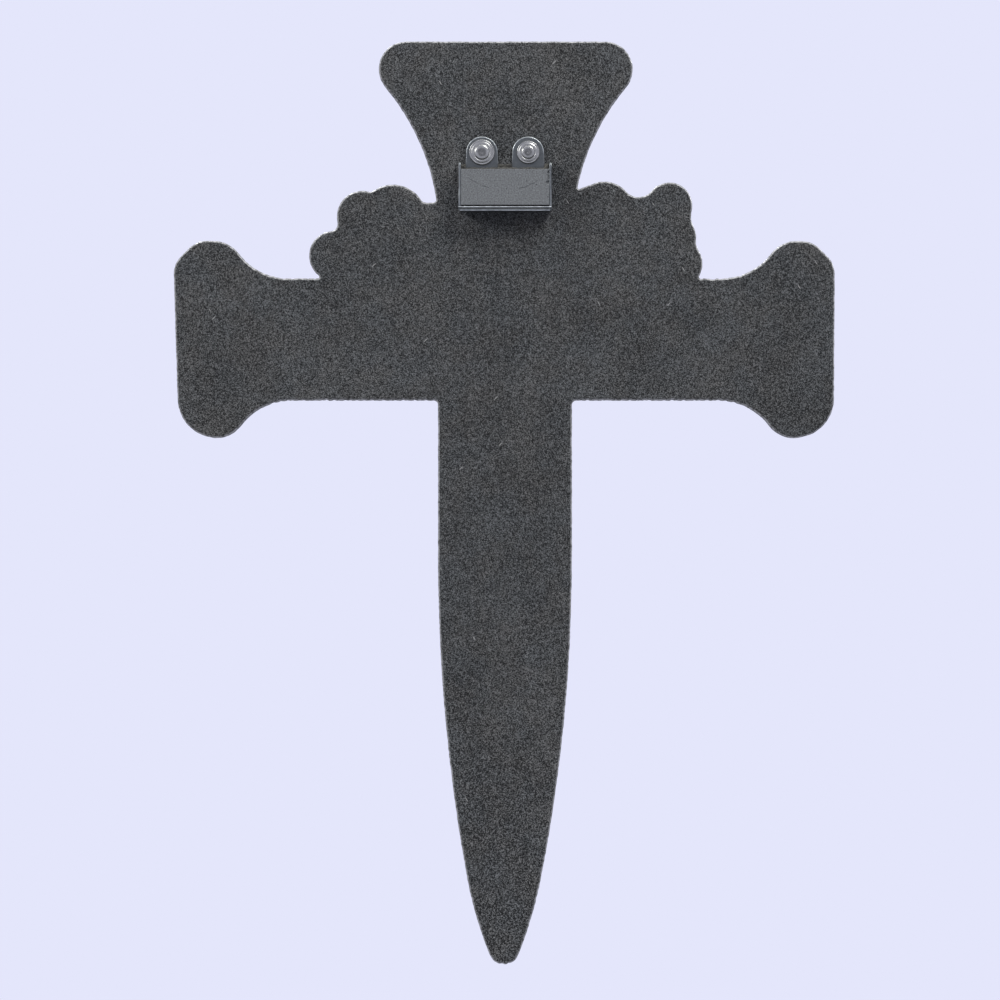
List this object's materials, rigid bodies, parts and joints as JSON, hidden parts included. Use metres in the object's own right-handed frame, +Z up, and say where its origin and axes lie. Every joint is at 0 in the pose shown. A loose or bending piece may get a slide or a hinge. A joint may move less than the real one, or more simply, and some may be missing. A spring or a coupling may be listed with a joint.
{
  "type": "metal grave cross",
  "caption": "Flat cast metal cross with flared ends, a rose spray and a long pointed foot, held by a magnet in a steel tray riveted to its back.",
  "frame": {"origin": "middle of the magnet's outer face, on the back of the cross", "axes": "+Z up along the stem, +Y out of the back towards what the magnet holds on to, X along the two arms"},
  "size_m": [0.2148, 0.0171, 0.3],
  "materials": {
    "cast_metal": "matte",
    "sheet_steel": "satin",
    "ferrite": "matte",
    "adhesive": "satin",
    "rivet_metal": "satin"
  },
  "bodies": {
    "root": {"cross_casting": "cast_metal", "magnet_tray": "sheet_steel", "magnet_block": "ferrite", "adhesive_bed": "adhesive", "rivet_left": "rivet_metal", "rivet_right": "rivet_metal"}
  },
  "joints": []
}
